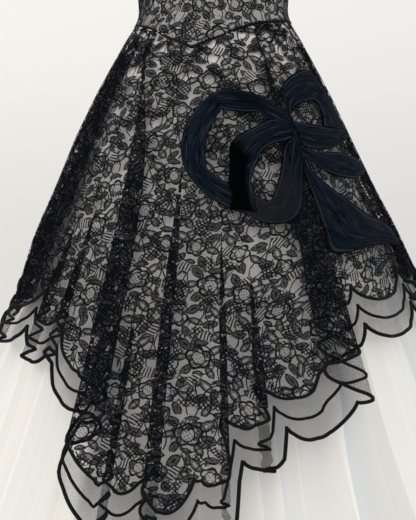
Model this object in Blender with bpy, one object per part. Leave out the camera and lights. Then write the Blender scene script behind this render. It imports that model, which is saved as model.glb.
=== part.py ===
"""Ball gown, filled out with no wearer: strapless bodice, pointed lace overskirt with a net border, hip bow
and a floor-length underskirt. Metres, +Z up, the front faces -Y, the origin is the middle of the waist.

Every cloth piece is a closed wall built on a grid of rows (drops below the waist) and columns (angles round the
body, 0 at the front, positive to the wearer's left).
"""
import math

import bpy
import numpy as np
from mathutils import Vector
from mathutils.bvhtree import BVHTree

MM = 0.001
SEAM = 0.3 * MM
CORD_RADIUS = 0.9 * MM
CORD_ROOM = 1.2 * MM
CORD_PINCH = 1.6
MOST_MITRE = 2.4
BASQUE_RADIUS = 1.6 * MM
BASQUE_BACK = 0.7 * MM
BESIDE_BASQUE = 1.95 * MM
LACE_WALL = 1.2 * MM
NET_WALL = 1.0 * MM
TULLE_WALL = 1.5 * MM
BODICE_WALL = 1.6 * MM
RIBBON_WALL = 1.4 * MM
FLOOR_DROP = 1.04
BORDER_WIDTH = 0.055
BORDER_FALL = 0.92
BORDER_ROWS = (0.0, 0.5, 1.0)
SCALLOP_DEPTH = 0.030
SIDE_SEAM = 96.0

# Worn section of the skirt: drop below the waist, half width, half depth.
SKIRT = np.array([
    (-0.02, 0.1175, 0.0905), (0.000, 0.1175, 0.0905), (0.030, 0.117, 0.092), (0.073, 0.139, 0.124),
    (0.110, 0.159, 0.150), (0.150, 0.180, 0.176), (0.200, 0.204, 0.202), (0.250, 0.227, 0.227),
    (0.300, 0.2485, 0.2485), (0.350, 0.273, 0.273), (0.400, 0.2965, 0.2965), (1.040, 0.600, 0.600),
])

# How far the wearer's right side of the skirt hangs in: drop, distance. It is most at the angle below.
HANGS_IN = np.array([(0.22, 0.000), (0.30, 0.005), (0.38, 0.012), (0.46, 0.025), (0.60, 0.017), (0.95, 0.000)])
HANGS_IN_ANGLE = -76
HANGS_IN_SPREAD = 45

# Worn section of the bodice: height above the waist, half width, half depth, how far the front is brought forward.
BODICE = np.array([
    (0.000, 0.1175, 0.0905, 0.000), (0.040, 0.121, 0.094, 0.000), (0.090, 0.132, 0.102, 0.004),
    (0.140, 0.143, 0.109, 0.014), (0.190, 0.150, 0.112, 0.026), (0.240, 0.152, 0.110, 0.022),
    (0.290, 0.150, 0.104, 0.010),
])

# Seam between bodice and skirts: angle from the front, drop. It comes to a point at the front.
WAIST_SEAM = np.array([
    (0, 0.0968), (3, 0.0935), (9, 0.0872), (20, 0.0775), (30, 0.067), (46, 0.0555), (56, 0.052), (71, 0.047),
    (90, 0.042), (180, 0.040),
])
SEAM_COLUMNS = (0, 3, 9, 14.5, 20, 25, 30, 38, 46, 56, 63.5, 71, 80.5, 90, 96)

BODICE_ROWS = 8
BACK_COLUMNS = 10

# Top edge of the bodice: angle from the front, height.
NECKLINE = np.array([(0, 0.232), (14, 0.255), (30, 0.268), (52, 0.262), (80, 0.222), (110, 0.190), (180, 0.172)])

# Lace edge before its scallops: angle, drop. The steps lie inside the folds.
HEM = np.array([
    (-180, 0.385), (-120, 0.390), (-90, 0.412), (-65, 0.434), (-45, 0.444), (-34.2, 0.449), (-31.5, 0.462),
    (-30.4, 0.466), (-26.6, 0.469), (-24.5, 0.478), (-22, 0.504), (-15.8, 0.530), (-10.4, 0.611), (-9.1, 0.634),
    (-6.8, 0.670), (-3.9, 0.679), (1.2, 0.660), (4.2, 0.697), (9.7, 0.681), (10.7, 0.662), (12.8, 0.660),
    (14.4, 0.668), (15.4, 0.600), (17.6, 0.592), (21.7, 0.595), (22.5, 0.571), (24, 0.565), (29, 0.556),
    (33, 0.556), (35.8, 0.543), (39.3, 0.503), (42.7, 0.462), (46, 0.448), (49.5, 0.444), (73, 0.417),
    (96, 0.402), (130, 0.392), (180, 0.385),
])

# Points where two scallops meet, as angles.
CUSPS = np.array([
    -180, -163, -146, -129, -112, -96, -80, -61, -34.2, -25, -11.5, -5.2, 2.4, 9.7, 14.9, 22.5, 35.8, 49.5, 73, 88,
    96, 112, 129, 146, 163, 180,
])

# Sideways lean of the net border's cut: angle, share of its width.
BORDER_LEAN = np.array([
    (-60, 0.00), (-42, -0.06), (-34.2, -0.20), (-32, 0.00), (-26, 0.00), (-15.6, 0.22), (-11, 0.08), (-6.4, -0.06),
    (2, 0.00), (15, 0.30), (22.5, 0.47), (35.8, 0.19), (47, 0.10), (60, 0.00),
])

# Folds of the overskirt: angle at the hem, drift of its upper end, half width (all degrees), height (m), drop
# where it starts, drop where it is full, side it leans to, how far it doubles back (1 is fully).
FOLDS = np.array([
    (-156, 0, 7.0, 0.010, 0.16, 0.38, -1, 0.20),
    (-132, 0, 7.0, 0.011, 0.14, 0.38, -1, 0.20),
    (-108, 0, 6.5, 0.011, 0.16, 0.38, -1, 0.22),
    (-80, 0, 6.0, 0.008, 0.18, 0.38, -1, 0.25),
    (-50, 0, 5.0, 0.008, 0.18, 0.40, -1, 0.25),
    (-32, -3, 1.5, 0.006, 0.32, 0.45, -1, 1.00),
    (-25, -4, 1.5, 0.007, 0.26, 0.44, -1, 1.00),
    (-11.5, -21, 4.0, 0.012, 0.12, 0.40, -1, 1.00),
    (-5.2, -4, 1.0, 0.006, 0.42, 0.60, -1, 0.90),
    (2.4, 1, 2.05, 0.009, 0.25, 0.50, -1, 0.90),
    (14.9, 3, 1.15, 0.007, 0.34, 0.50, 1, 1.00),
    (22.1, 0, 1.6, 0.007, 0.40, 0.52, 1, 1.00),
    (41.0, 0, 6.1, 0.012, 0.34, 0.48, 1, 1.00),
    (81, 0, 5.0, 0.011, 0.38, 0.47, 1, 0.80),
    (108, 0, 6.5, 0.011, 0.16, 0.38, 1, 0.22),
    (132, 0, 7.0, 0.011, 0.14, 0.38, 1, 0.20),
    (156, 0, 7.0, 0.010, 0.16, 0.38, 1, 0.20),
])
ANGLE, DRIFT, HALF, HEIGHT, START, FULL, LEAN, DOUBLED = range(8)

# Cut across one fold that doubles back: place along it, across, outwards.
FOLD_SECTION = np.array([
    (-1.00, -1.00, 0.00), (-0.785, -0.48, 0.48), (-0.527, 0.16, 0.92), (-0.358, 0.60, 1.00),
    (-0.273, 0.68, 0.52), (0.00, 0.00, 0.00), (0.273, -0.68, -0.52), (0.358, -0.60, -1.00),
    (0.527, -0.16, -0.92), (0.785, 0.48, -0.48), (1.00, 1.00, 0.00),
])

OVERSKIRT_ROWS = np.array([0.0, 0.15, 0.31, 0.48, 0.65, 0.83, 1.0])
FRONT_STEP = 3.0
BACK_STEP = 7.0
DRIFT_FROM = 0.10
DRIFT_FADE = 0.09

# Underskirt: drop, how far inside the worn section it lies, height of its soft waves.
UNDERSKIRT = np.array([
    (0.000, 0.0020, 0.000), (0.050, 0.0020, 0.000), (0.100, 0.0050, 0.000), (0.200, 0.0130, 0.001),
    (0.300, 0.0180, 0.002), (0.450, 0.0220, 0.003), (0.700, 0.0360, 0.009), (1.040, 0.0150, 0.018),
])
UNDERSKIRT_ROWS = np.array([0.0, 0.10, 0.22, 0.36, 0.52, 0.68, 0.84, 1.0])
UNDERSKIRT_GORES = (("underskirt_front", -45), ("underskirt_left", 45), ("underskirt_back", 135),
                    ("underskirt_right", 225))
GORE_COLUMNS = 19
UNDERSKIRT_LOWER = 0.7 * MM

# Colours and finishes: name, red, green, blue, roughness.
LACE = ("black_lace", 0.030, 0.032, 0.040, 0.75)
NET = ("black_net", 0.045, 0.046, 0.050, 0.80)
CORD = ("black_cord", 0.012, 0.012, 0.015, 0.55)
RIBBON = ("black_ribbon", 0.010, 0.012, 0.018, 0.45)
TULLE = ("white_tulle", 0.870, 0.875, 0.880, 0.85)

# Bow pieces: along the middle of each strip, angle, drop and half width.
BOW_LEFT_LOOP = np.array([
    (38.4, 0.203, 0.009), (34.0, 0.191, 0.011), (28.0, 0.180, 0.012), (21.0, 0.176, 0.013), (15.0, 0.184, 0.013),
    (10.5, 0.202, 0.013), (7.6, 0.226, 0.013), (6.8, 0.252, 0.014), (8.0, 0.279, 0.014), (12.0, 0.300, 0.014),
    (17.5, 0.316, 0.015), (23.5, 0.328, 0.015), (29.5, 0.339, 0.014), (35.0, 0.338, 0.013), (39.2, 0.320, 0.011),
    (41.8, 0.290, 0.009), (42.8, 0.254, 0.007),
])
BOW_CROSS_BAND = np.array([
    (19.4, 0.266, 0.009), (22.5, 0.258, 0.012), (26.5, 0.247, 0.014), (31.0, 0.237, 0.014), (35.0, 0.229, 0.012),
    (38.0, 0.223, 0.009),
])
BOW_INNER_BAND = np.array([(21.6, 0.2755, 0.0095), (21.6, 0.285, 0.0115), (22.2, 0.2955, 0.0105)])
BOW_RIGHT_LOOP = np.array([
    (44.4, 0.180, 0.007), (48.0, 0.163, 0.010), (54.0, 0.150, 0.011), (62.0, 0.146, 0.011), (70.0, 0.153, 0.011),
    (77.0, 0.170, 0.011), (80.5, 0.192, 0.011), (78.0, 0.216, 0.011), (70.0, 0.229, 0.012), (61.0, 0.232, 0.012),
    (53.5, 0.229, 0.010), (48.3, 0.223, 0.008),
])
BOW_UPPER_TAIL = np.array([
    (48.3, 0.249, 0.004), (54.0, 0.258, 0.006), (63.0, 0.264, 0.007), (73.0, 0.265, 0.009), (84.0, 0.265, 0.010),
])
BOW_LOWER_TAIL = np.array([
    (46.6, 0.3475, 0.047), (50.0, 0.350, 0.045), (54.0, 0.3515, 0.043), (60.0, 0.3535, 0.039),
    (68.0, 0.360, 0.029), (76.0, 0.368, 0.017), (80.5, 0.376, 0.006),
])

# The bow's strips: name, table, height of the middle above the edges (m), lines of points across.
BOW_STRIPS = (
    ("bow_left_loop", BOW_LEFT_LOOP, 0.003, 3), ("bow_cross_band", BOW_CROSS_BAND, 0.002, 3),
    ("bow_inner_band", BOW_INNER_BAND, 0.001, 3),
    ("bow_right_loop", BOW_RIGHT_LOOP, 0.003, 3), ("bow_upper_tail", BOW_UPPER_TAIL, 0.002, 3),
    ("bow_lower_tail", BOW_LOWER_TAIL, 0.003, 5),
)

# The bow's knot: angle and drop of its middle, half width, half height, rise of its dome; then the heights of
# the dome's rim and of the flat back.
KNOT = (43.6, 0.215, 0.013, 0.029, 0.010)
KNOT_FLOOR = (1.6 * MM, -0.4 * MM)
KNOT_ROWS = 6
KNOT_COLUMNS = 8

# How near the lace the bow lies: reach of the search for its highest place, the skirt's slope, room to spare.
BOW_REACH = 0.008
BOW_SLOPE = 0.48
BOW_SPARE = 0.45 * MM


def smooth_step(value):
    held = np.clip(value, 0.0, 1.0)
    return held * held * (3 - 2 * held)


def column(table, at, which):
    return np.interp(at, table[:, 0], table[:, which])


def seam_drop(angle):
    """Drop of the waist seam at an angle."""
    return column(WAIST_SEAM, abs((angle + 180) % 360 - 180), 1)


def ellipse_radius(angle, half_width, half_depth):
    turn = math.radians(angle)
    return half_width * half_depth / math.hypot(half_depth * math.sin(turn), half_width * math.cos(turn))


def skirt_radius(angle, drop):
    away = ((angle - HANGS_IN_ANGLE + 180) % 360 - 180) / HANGS_IN_SPREAD
    hangs_in = np.interp(drop, HANGS_IN[:, 0], HANGS_IN[:, 1]) * smooth_step(1 - abs(away))
    return ellipse_radius(angle, column(SKIRT, drop, 1), column(SKIRT, drop, 2)) - hangs_in


def beside_basque(angle):
    """Height between the seam and the cloth beside its cord: more where the seam slopes."""
    radius = skirt_radius(angle, seam_drop(angle))
    steps = [abs(seam_drop(angle + turn) - seam_drop(angle)) for turn in (-1, 1)]
    return BESIDE_BASQUE * math.hypot(1, max(steps) / (radius * math.radians(1)))


def placed(angle, radius, height):
    turn = math.radians(angle)
    return np.array((radius * math.sin(turn), -radius * math.cos(turn), height))


def drifted(label, drop):
    """Angle of a column at a drop: columns follow the folds, which wander sideways near the waist."""
    fade = math.exp(-(max(drop, DRIFT_FROM) - DRIFT_FROM) / DRIFT_FADE)
    ends = np.concatenate([[-180], FOLDS[:, ANGLE], [180]])
    drifts = np.concatenate([[0], FOLDS[:, DRIFT], [0]])
    return label + np.interp(label, ends, drifts) * fade


def fold_shape(fold, along, drop):
    """Sideways (in half widths) and outward (m) shift of one fold at a place -1 to 1 along it."""
    grown = smooth_step((drop - fold[START]) / (fold[FULL] - fold[START]))
    across = fold[LEAN] * column(FOLD_SECTION, fold[LEAN] * along, 1)
    outward = column(FOLD_SECTION, fold[LEAN] * along, 2)
    return grown * fold[DOUBLED] * (across - along), grown * fold[HEIGHT] * outward


def overskirt_point(label, drop):
    """Middle of the overskirt's wall."""
    sideways, outward = 0.0, 0.0
    for fold in FOLDS:
        along = (label - fold[ANGLE]) / fold[HALF]
        if abs(along) < 1:
            shift, lift = fold_shape(fold, along, drop)
            sideways += shift * fold[HALF]
            outward += lift
    angle = drifted(label, drop) + sideways
    return placed(angle, skirt_radius(angle, drop) + outward, -drop)


def scallop(label):
    """How far the scalloped edge hangs below the line through its cusps."""
    after = min(max(int(np.searchsorted(CUSPS, label, side="right")), 1), len(CUSPS) - 1)
    share = (label - CUSPS[after - 1]) / (CUSPS[after] - CUSPS[after - 1])
    return SCALLOP_DEPTH * max(1 - (2 * share - 1) ** 2, 0.0) ** 0.75


def edge_drop(label):
    return column(HEM, label, 1) + scallop(label)


def column_labels():
    """Column angles all round: dense across the doubled folds, at every cusp, and evenly spaced between."""
    fixed = []
    for fold in FOLDS:
        keys = FOLD_SECTION[:, 0] if fold[DOUBLED] > 0.5 else np.linspace(-1, 1, 7)
        fixed += [(fold[ANGLE] + fold[HALF] * key, 0) for key in keys]
    fixed += [(cusp, 1) for cusp in CUSPS]
    fixed += [(-SIDE_SEAM, 0), (SIDE_SEAM, 0), (-180, 0), (180, 0)]
    fixed.sort()
    kept = []
    for angle, is_cusp in fixed:
        near = 1.0 if is_cusp else 0.1
        if kept and angle - kept[-1] < near and (abs(angle) not in (180, SIDE_SEAM) or angle == kept[-1]):
            continue
        kept.append(angle)
    labels = [kept[0]]
    for angle in kept[1:]:
        step = FRONT_STEP if abs(angle) <= SIDE_SEAM else BACK_STEP
        pieces = max(1, math.ceil((angle - labels[-1]) / step - 1e-6))
        labels += list(np.linspace(labels[-1], angle, pieces + 1)[1:])
    return np.array(labels)


def panel_labels(labels, is_front):
    """Columns of the front panel, or of the back panel, which runs past 180 degrees."""
    if is_front:
        return labels[np.abs(labels) <= SIDE_SEAM]
    after = labels[labels >= SIDE_SEAM]
    before = labels[(labels <= -SIDE_SEAM) & (labels > -180)] + 360
    return np.concatenate([after, before])


def wrapped(label):
    return label - 360 if label > 180 else label


def eased_from_seam(label, drop, first, last):
    """A column at a side seam, moved by half the seam's gap into its panel."""
    nudge = math.degrees(0.5 * SEAM / skirt_radius(wrapped(label), drop))
    if label == first:
        return label + nudge
    return label - nudge if label == last else label


def border_spot(label, share):
    """Label and drop of a place on the net border: share 0 at the lace edge, 1 at the outer edge."""
    edge = edge_drop(label)
    reach = share * BORDER_WIDTH
    sideways = reach * column(BORDER_LEAN, label, 1)
    return label + math.degrees(sideways / skirt_radius(label, edge)), edge + reach * BORDER_FALL


def overskirt_grid(labels):
    rows = []
    for share in OVERSKIRT_ROWS:
        row = []
        for label in labels:
            here = wrapped(label)
            top = seam_drop(drifted(here, 0.0)) + beside_basque(drifted(here, 0.0))
            drop = top + share * (edge_drop(here) - top)
            row.append(overskirt_point(wrapped(eased_from_seam(label, drop, labels[0], labels[-1])), drop))
        rows.append(row)
    return np.array(rows)


def border_grid(labels):
    rows = []
    for share in BORDER_ROWS:
        row = []
        for label in labels:
            spot, drop = border_spot(wrapped(label), share)
            held = eased_from_seam(label, drop, labels[0], labels[-1]) - label
            row.append(overskirt_point(wrapped(spot + held), drop))
        rows.append(row)
    return np.array(rows)


def unit(vectors):
    return vectors / np.linalg.norm(vectors, axis=-1, keepdims=True)


def grid_normals(grid):
    """Unit normals of a grid of points, facing out of the gown."""
    return unit(np.cross(np.gradient(grid, axis=0), np.gradient(grid, axis=1)))


def wall_faces(rows, columns):
    """Faces of a closed wall: the outer grid's points come first, then the inner grid's."""
    inner = rows * columns
    last_row, last_col = (rows - 1) * columns, columns - 1
    faces = []
    for row in range(0, last_row, columns):
        for col in range(row, row + last_col):
            below = col + columns
            faces.append((col, below, below + 1, col + 1))
            faces.append((col + inner, col + 1 + inner, below + 1 + inner, below + inner))
    for col in range(last_col):
        low = col + last_row
        faces.append((col, col + 1, col + 1 + inner, col + inner))
        faces.append((low + 1, low, low + inner, low + 1 + inner))
    for row in range(0, last_row, columns):
        below, end = row + columns, row + last_col
        faces.append((below, row, row + inner, below + inner))
        faces.append((end, end + columns, end + columns + inner, end + inner))
    return faces


def material(look):
    name, red, green, blue, roughness = look
    made = bpy.data.materials.get(name) or bpy.data.materials.new(name)
    made.use_nodes = True
    shader = made.node_tree.nodes["Principled BSDF"]
    shader.inputs["Base Color"].default_value = (red, green, blue, 1)
    shader.inputs["Roughness"].default_value = roughness
    return made


def add_object(name, points, faces, look):
    mesh = bpy.data.meshes.new(name)
    mesh.from_pydata([tuple(point) for point in points], [], faces)
    mesh.validate()
    for face in mesh.polygons:
        face.use_smooth = True
    mesh.materials.append(material(look))
    bpy.context.collection.objects.link(bpy.data.objects.new(name, mesh))


def add_wall(name, grid, thickness, look, normals=None):
    """A closed wall of a set thickness, centred on a grid of points."""
    rows, columns = grid.shape[:2]
    half = 0.5 * thickness * (grid_normals(grid) if normals is None else normals)
    points = np.concatenate([(grid + half).reshape(-1, 3), (grid - half).reshape(-1, 3)])
    add_object(name, points, wall_faces(rows, columns), look)


def ring_steps(path):
    """Unit steps into and out of each point of a closed line."""
    return unit(path - np.roll(path, 1, axis=0)), unit(np.roll(path, -1, axis=0) - path)


def ring_across(path, normals):
    """Unit directions in the cloth, across a closed line on it."""
    before, after = ring_steps(path)
    return unit(np.cross(before + after, normals))


def cord_room(path, normals):
    """How far the cloth beside a cord stays from the cord's line: more where the line turns sharply."""
    across = ring_across(path, normals)
    turn = np.abs(np.sum(np.cross(ring_steps(path)[0], normals) * across, axis=1, keepdims=True))
    return (CORD_RADIUS + CORD_ROOM) * across / np.clip(turn, 1 / MOST_MITRE, 1)


def tube_faces(sides, count):
    """Faces of a closed tube made of a number of rings, each a list of points that follows the last."""
    faces = []
    for side in range(sides):
        first, other = side * count, (side + 1) % sides * count
        for col in range(count):
            after = (col + 1) % count
            faces.append((first + col, first + after, other + after, other + col))
    return faces


def add_cord(name, path, normals):
    """A closed cord with a three-sided section, centred on a line in the cloth."""
    across = ring_across(path, normals)
    before, after = ring_steps(path)
    sharp = 0.5 - 0.5 * np.sum(before * after, axis=1, keepdims=True)
    radius = CORD_RADIUS * (1 - CORD_PINCH * sharp)
    rings = [path + radius * (0.8 * across - 0.5 * normals), path + radius * normals,
             path - radius * (0.8 * across + 0.5 * normals)]
    add_object(name, np.concatenate(rings), tube_faces(len(rings), len(path)), CORD)


def underskirt_point(angle, drop):
    inside, wave = column(UNDERSKIRT, drop, 1), column(UNDERSKIRT, drop, 2)
    turn = math.radians(angle)
    ripple = 0.55 * math.sin(11 * turn + 0.7) + 0.45 * math.sin(18 * turn + 2.0 * math.sin(turn))
    return placed(angle, skirt_radius(angle, drop) - inside + wave * ripple, -drop)


def build_underskirt():
    for name, first in UNDERSKIRT_GORES:
        angles = np.linspace(first, first + 90, GORE_COLUMNS)
        rows = []
        for share in UNDERSKIRT_ROWS:
            row = []
            for angle in angles:
                top = seam_drop(angle) + beside_basque(angle) + UNDERSKIRT_LOWER
                drop = top + share * (FLOOR_DROP - top)
                eased = eased_from_seam(angle, drop, angles[0], angles[-1])
                row.append(underskirt_point(eased, drop))
            rows.append(row)
        add_wall(name, np.array(rows), TULLE_WALL, TULLE)


def bodice_point(angle, height):
    if height < 0:
        return placed(angle, skirt_radius(angle, -height), height)
    radius = ellipse_radius(angle, column(BODICE, height, 1), column(BODICE, height, 2))
    point = placed(angle, radius, height)
    point[1] -= column(BODICE, height, 3) * max(math.cos(math.radians(angle)), 0.0) ** 0.7
    return point


def build_bodice():
    front = np.concatenate([-np.array(SEAM_COLUMNS[:0:-1]), SEAM_COLUMNS])
    panels = (("bodice_front", front), ("bodice_back_left", np.linspace(SIDE_SEAM, 180, BACK_COLUMNS)),
              ("bodice_back_right", np.linspace(180, 360 - SIDE_SEAM, BACK_COLUMNS)))
    for name, angles in panels:
        rows = []
        for share in np.linspace(0, 1, BODICE_ROWS):
            row = []
            for angle in angles:
                bare = abs((angle + 180) % 360 - 180)
                top, low = column(NECKLINE, bare, 1), beside_basque(angle) - seam_drop(angle)
                height = top + share * (low - top)
                row.append(bodice_point(eased_from_seam(angle, 0.0, angles[0], angles[-1]), height))
            rows.append(row)
        add_wall(name, np.array(rows), BODICE_WALL, LACE)


def build_basque_cord():
    """The cord in the waist seam, between the bodice and the overskirt."""
    back = np.linspace(SIDE_SEAM, 360 - SIDE_SEAM, 2 * BACK_COLUMNS - 1)
    angles = np.concatenate([-np.array(SEAM_COLUMNS[:0:-1]), SEAM_COLUMNS, back[1:-1]])
    path = np.array([placed(a, skirt_radius(a, seam_drop(a)) + 0.2 * MM, -seam_drop(a)) for a in angles])
    out = np.array([placed(a, 1.0, 0.0) for a in angles])
    up = ring_across(path, out)
    rings = [path - BASQUE_RADIUS * up, path - BASQUE_BACK * out, path + BASQUE_RADIUS * up,
             path + BASQUE_RADIUS * out]
    add_object("basque_cord", np.concatenate(rings), tube_faces(len(rings), len(angles)), CORD)


def lace_surface():
    """The front lace panel as a tree that lines can be cast at."""
    mesh = bpy.data.objects["overskirt_front"].data
    return BVHTree.FromPolygons([point.co for point in mesh.vertices], [face.vertices for face in mesh.polygons])


def lace_radius(tree, angle, drop):
    """Radius of the lace's outer face, the largest within a short reach of a place."""
    found = []
    for turn, lower in ((0, 0), (2, 0), (-2, 0), (0, BOW_REACH), (0, -BOW_REACH)):
        start = placed(angle + turn, 1.0, -(drop + lower))
        inward = -placed(angle + turn, 1.0, 0.0)
        hit = tree.ray_cast(Vector(start), Vector(inward))[0]
        found.append(math.hypot(hit.x, hit.y) - BOW_SLOPE * lower)
    return max(found)


def bow_point(tree, angle, drop, height):
    clear = SEAM + 0.5 * RIBBON_WALL + BOW_SPARE
    return placed(angle, lace_radius(tree, angle, drop) + clear + height, -drop)


def halved(table):
    """The same strip with a row added between each two, on a smooth curve through the rows."""
    before, after = np.vstack([table[:1], table[:-2]]), np.vstack([table[2:], table[-1:]])
    middle = (9 * (table[:-1] + table[1:]) - before - after) / 16
    finer = np.empty((2 * len(table) - 1, 3))
    finer[0::2], finer[1::2] = table, middle
    return finer


def strip_grid(tree, table, crown, count):
    """Lines of points along a ribbon strip from one edge to the other, highest in the middle."""
    radii = np.array([skirt_radius(angle, drop) for angle, drop, half in table])
    flat = np.stack([np.radians(table[:, 0]) * radii, table[:, 1]], axis=1)
    along = np.gradient(flat, axis=0)
    along /= np.linalg.norm(along, axis=1, keepdims=True)
    lines = []
    for side in np.linspace(-1, 1, count):
        line = []
        for index, (angle, drop, half) in enumerate(table):
            turn = math.degrees(-along[index, 1] * half * side / radii[index])
            lower = along[index, 0] * half * side
            line.append(bow_point(tree, angle + turn, drop + lower, crown * (1 - side * side)))
        lines.append(line)
    return np.array(lines)


def build_bow():
    tree = lace_surface()
    for name, table, crown, count in BOW_STRIPS:
        add_wall(name, strip_grid(tree, halved(table), crown, count), RIBBON_WALL, RIBBON)
    build_knot(tree)


def build_knot(tree):
    """A domed lump with a flat back that gathers the bow."""
    angle, drop, half_width, half_height, rise = KNOT
    radius = skirt_radius(angle, drop)
    outer, inner = [], []
    for row in range(KNOT_ROWS + 1):
        up = 2 * row / KNOT_ROWS - 1
        for col in range(KNOT_COLUMNS + 1):
            side = 2 * col / KNOT_COLUMNS - 1
            narrow = 1 - 0.25 * (1 - up * up)
            turn = angle + math.degrees(side * half_width * narrow / radius)
            dome = (1 - up ** 4) * (1 - side ** 4) * (1 - 0.25 * math.exp(-(side * 5) ** 2))
            outer.append(bow_point(tree, turn, drop + up * half_height, KNOT_FLOOR[0] + rise * dome))
            inner.append(bow_point(tree, turn, drop + up * half_height, KNOT_FLOOR[1]))
    faces = wall_faces(KNOT_ROWS + 1, KNOT_COLUMNS + 1)
    add_object("bow_knot", np.array(outer + inner), faces, RIBBON)


def overskirt_panel(labels):
    """Grids and normals of one lace panel and its border, before the cords' room is taken off."""
    lace, net = overskirt_grid(labels), border_grid(labels)
    lace_normals, net_normals = grid_normals(lace), grid_normals(net)
    shared = unit(lace_normals[-1] + net_normals[0])
    lace_normals[-1], net_normals[0] = shared, shared
    return lace, net, lace_normals, net_normals


def build_overskirt():
    """Lace panels, the net border below them, a cord between the two and a cord along the outer edge."""
    labels = column_labels()
    panels = {name: overskirt_panel(panel_labels(labels, name == "front")) for name in ("front", "back")}
    room = {}
    for cord, line in (("cord_lace_edge", 0), ("cord_outer_edge", 2)):
        path = np.concatenate([panels["front"][1][line], panels["back"][1][line][1:-1]])
        normals = np.concatenate([panels["front"][3][line], panels["back"][3][line][1:-1]])
        add_cord(cord, path, normals)
        ring = cord_room(path, normals)
        front_count = len(panels["front"][1][line])
        room["front", line] = ring[:front_count]
        room["back", line] = np.concatenate([ring[front_count - 1:], ring[:1]])
    for name, (lace, net, lace_normals, net_normals) in panels.items():
        lace[-1] = net[0] - room[name, 0]
        net[0] = net[0] + room[name, 0]
        net[2] = net[2] - room[name, 2]
        add_wall("overskirt_" + name, lace, LACE_WALL, LACE, lace_normals)
        add_wall("border_" + name, net, NET_WALL, NET, net_normals)


for old in list(bpy.data.objects):
    bpy.data.objects.remove(old)
build_underskirt()
build_bodice()
build_basque_cord()
build_overskirt()
build_bow()
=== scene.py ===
"""Looks of the ball gown: lace, net, cords, ribbon and tulle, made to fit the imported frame.

Angles are degrees round the body, 0 at the front and positive to the wearer's left. Drops are metres below
the waist. Each cloth piece is a grid of rows (drops) and columns (angles), worked out from the same tables as
the solids and drawn finer.
"""
import math

import bpy
import numpy as np
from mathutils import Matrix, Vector
from mathutils.bvhtree import BVHTree


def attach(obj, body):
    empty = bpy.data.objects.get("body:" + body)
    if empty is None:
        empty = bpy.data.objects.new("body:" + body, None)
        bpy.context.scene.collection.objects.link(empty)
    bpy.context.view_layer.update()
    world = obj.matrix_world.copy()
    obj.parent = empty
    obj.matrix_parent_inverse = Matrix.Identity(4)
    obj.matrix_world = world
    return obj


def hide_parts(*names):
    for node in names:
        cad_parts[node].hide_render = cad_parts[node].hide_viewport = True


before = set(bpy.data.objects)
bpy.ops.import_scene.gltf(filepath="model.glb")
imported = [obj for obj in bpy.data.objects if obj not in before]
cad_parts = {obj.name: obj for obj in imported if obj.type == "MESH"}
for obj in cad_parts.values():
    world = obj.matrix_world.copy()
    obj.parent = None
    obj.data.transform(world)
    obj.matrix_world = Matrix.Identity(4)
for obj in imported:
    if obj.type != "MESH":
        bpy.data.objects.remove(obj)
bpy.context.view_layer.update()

MM = 0.001
FLOOR_DROP = 1.04
BORDER_WIDTH = 0.055
BORDER_FALL = 0.92
SCALLOP_DEPTH = 0.030
SIDE_SEAM = 96.0
BESIDE_BASQUE = 1.95 * MM

# Worn section of the skirt: drop below the waist, half width, half depth.
SKIRT = np.array([
    (-0.02, 0.1175, 0.0905), (0.000, 0.1175, 0.0905), (0.030, 0.117, 0.092), (0.073, 0.139, 0.124),
    (0.110, 0.159, 0.150), (0.150, 0.180, 0.176), (0.200, 0.204, 0.202), (0.250, 0.227, 0.227),
    (0.300, 0.2485, 0.2485), (0.350, 0.273, 0.273), (0.400, 0.2965, 0.2965), (1.040, 0.600, 0.600),
])

# How far the skirt hangs in at the wearer's right: drop, distance.
HANGS_IN = np.array([
    (0.22, 0.000), (0.30, 0.005), (0.38, 0.012), (0.46, 0.025), (0.60, 0.017), (0.95, 0.000),
])
HANGS_IN_ANGLE = -76
HANGS_IN_SPREAD = 45

# Bodice: height above the waist, half width, half depth, how far the front is brought forward.
BODICE = np.array([
    (0.000, 0.1175, 0.0905, 0.000), (0.040, 0.121, 0.094, 0.000), (0.090, 0.132, 0.102, 0.004),
    (0.140, 0.143, 0.109, 0.014), (0.190, 0.150, 0.112, 0.026), (0.240, 0.152, 0.110, 0.022),
    (0.290, 0.150, 0.104, 0.010),
])

# Waist seam: angle, drop. Neckline: angle, height.
WAIST_SEAM = np.array([
    (0, 0.0968), (3, 0.0935), (9, 0.0872), (20, 0.0775), (30, 0.067), (46, 0.0555), (56, 0.052), (71, 0.047),
    (90, 0.042), (180, 0.040),
])
NECKLINE = np.array([
    (0, 0.232), (14, 0.255), (30, 0.268), (52, 0.262), (80, 0.222), (110, 0.190), (180, 0.172),
])

# Lace edge before its scallops: angle, drop. Then the angles where two scallops meet.
HEM = np.array([
    (-180, 0.385), (-120, 0.390), (-90, 0.412), (-65, 0.434), (-45, 0.444), (-34.2, 0.449), (-31.5, 0.462),
    (-30.4, 0.466), (-26.6, 0.469), (-24.5, 0.478), (-22, 0.504), (-15.8, 0.530), (-10.4, 0.611),
    (-9.1, 0.634), (-6.8, 0.670), (-3.9, 0.679), (1.2, 0.660), (4.2, 0.697), (9.7, 0.681), (10.7, 0.662),
    (12.8, 0.660), (14.4, 0.668), (15.4, 0.600), (17.6, 0.592), (21.7, 0.595), (22.5, 0.571), (24, 0.565),
    (29, 0.556), (33, 0.556), (35.8, 0.543), (39.3, 0.503), (42.7, 0.462), (46, 0.448), (49.5, 0.444),
    (73, 0.417), (96, 0.402), (130, 0.392), (180, 0.385),
])
CUSPS = np.array([
    -180, -163, -146, -129, -112, -96, -80, -61, -34.2, -25, -11.5, -5.2, 2.4, 9.7, 14.9, 22.5, 35.8, 49.5,
    73, 88, 96, 112, 129, 146, 163, 180,
])

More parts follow.
